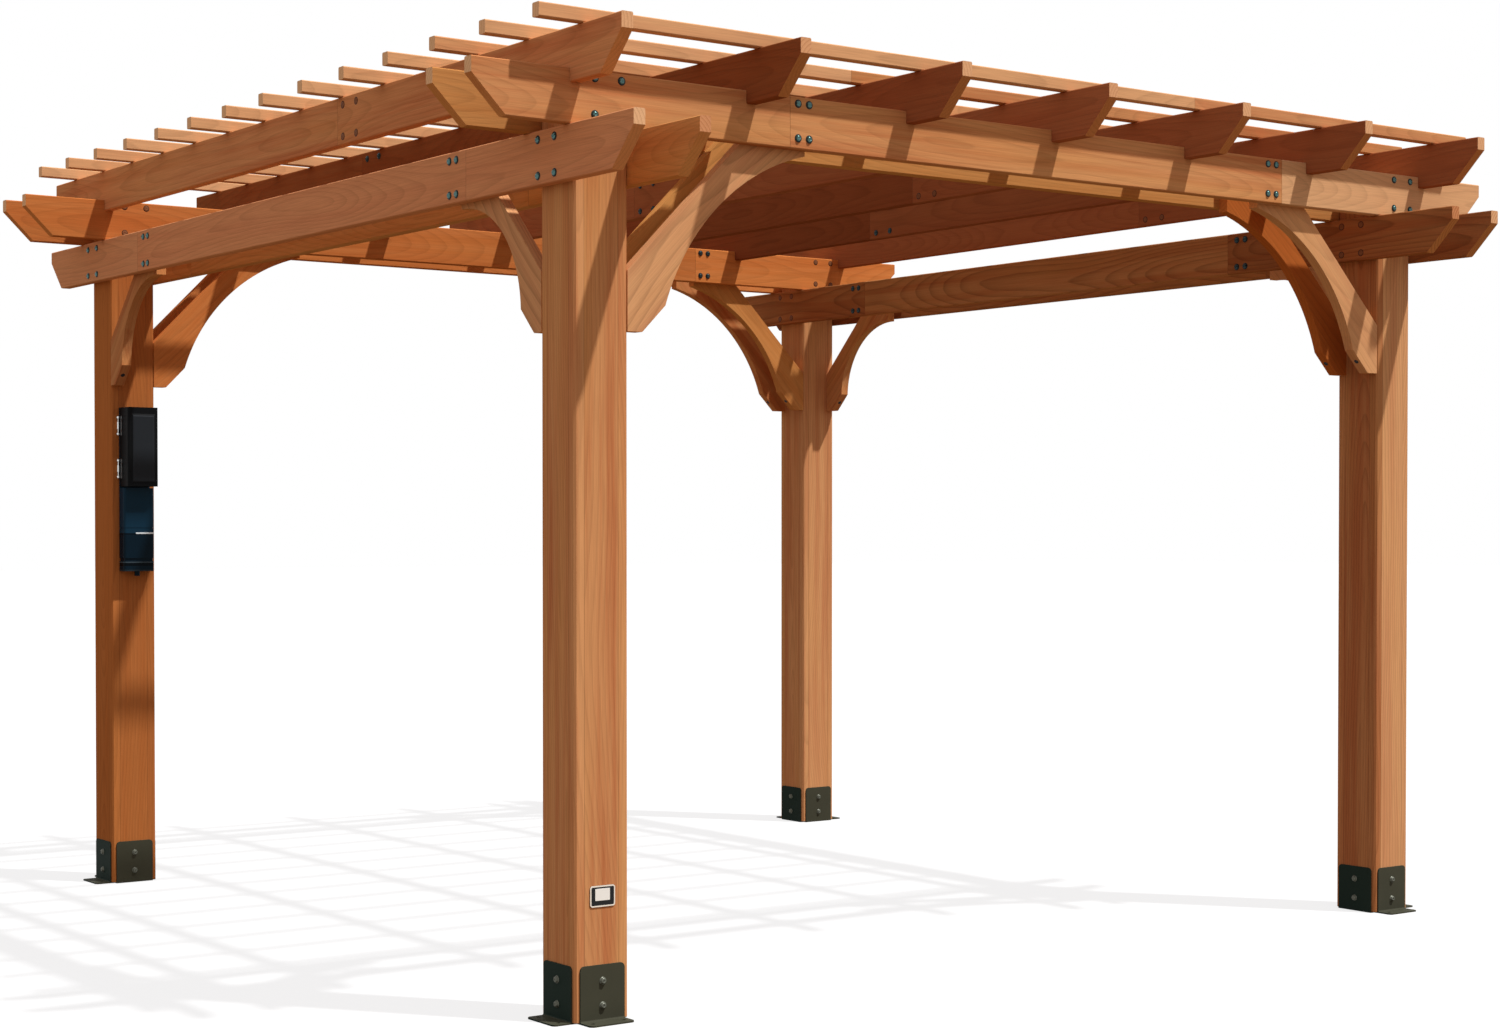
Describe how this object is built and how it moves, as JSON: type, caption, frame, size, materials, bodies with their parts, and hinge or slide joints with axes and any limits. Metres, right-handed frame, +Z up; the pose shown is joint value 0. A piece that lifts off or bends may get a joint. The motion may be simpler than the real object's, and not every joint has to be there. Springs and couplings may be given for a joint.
{
  "type": "wooden pergola",
  "caption": "Free-standing square timber pergola: posts on steel shoes, doubled beams, curved knee braces, notched rafters and a slatted top, with a hinged outlet unit on one post.",
  "frame": {"origin": "middle of the four posts, at ground level", "axes": "+X from left to right along the front, +Y from the front to the back, +Z up; the rafters run along Y and the slats along X"},
  "size_m": [3.666, 3.68, 2.415],
  "materials": {
    "post_timber": "stained cedar, satin",
    "brace_timber": "stained cedar, satin",
    "beam_timber": "stained cedar, satin",
    "rafter_timber": "stained cedar, satin",
    "slat_timber": "stained cedar, satin",
    "shoe_steel": "black powder coat",
    "outlet_black": "black, moulded, semi-gloss",
    "cover_black": "black, moulded, fine grain",
    "hinge_steel": "bright zinc"
  },
  "bodies": {
    "frame": {"post_front_left": "post_timber", "post_front_right": "post_timber", "post_back_left": "post_timber", "post_back_right": "post_timber", "post_shoe_front_left": "shoe_steel", "post_shoe_front_right": "shoe_steel", "post_shoe_back_left": "shoe_steel", "post_shoe_back_right": "shoe_steel", "knee_braces_front_left": "brace_timber", "knee_braces_front_right": "brace_timber", "knee_braces_back_left": "brace_timber", "knee_braces_back_right": "brace_timber", "left_beam_outer": "beam_timber", "left_beam_inner": "beam_timber", "right_beam_outer": "beam_timber", "right_beam_inner": "beam_timber", "front_beam_outer": "beam_timber", "front_beam_inner": "beam_timber", "back_beam_outer": "beam_timber", "back_beam_inner": "beam_timber", "rafter_1": "rafter_timber", "rafter_2": "rafter_timber", "rafter_3": "rafter_timber", "rafter_4": "rafter_timber", "rafter_5": "rafter_timber", "rafter_6": "rafter_timber", "rafter_7": "rafter_timber", "slat_01": "slat_timber", "slat_02": "slat_timber", "slat_03": "slat_timber", "slat_04": "slat_timber", "slat_05": "slat_timber", "slat_06": "slat_timber", "slat_07": "slat_timber", "slat_08": "slat_timber", "slat_09": "slat_timber", "slat_10": "slat_timber", "slat_11": "slat_timber", "slat_12": "slat_timber", "slat_13": "slat_timber", "slat_14": "slat_timber", "outlet_housing": "outlet_black", "outlet_hinges": "hinge_steel"},
    "outlet_cover": {"outlet_cover": "cover_black", "cover_hinge_leaves": "hinge_steel"}
  },
  "joints": [
    {"name": "cover_hinge", "type": "hinge", "parent": "frame", "child": "outlet_cover", "pos_m": [-1.512, 1.374, 1.465], "axis": [0, 0, -1], "range_deg": [0, 105]}
  ]
}
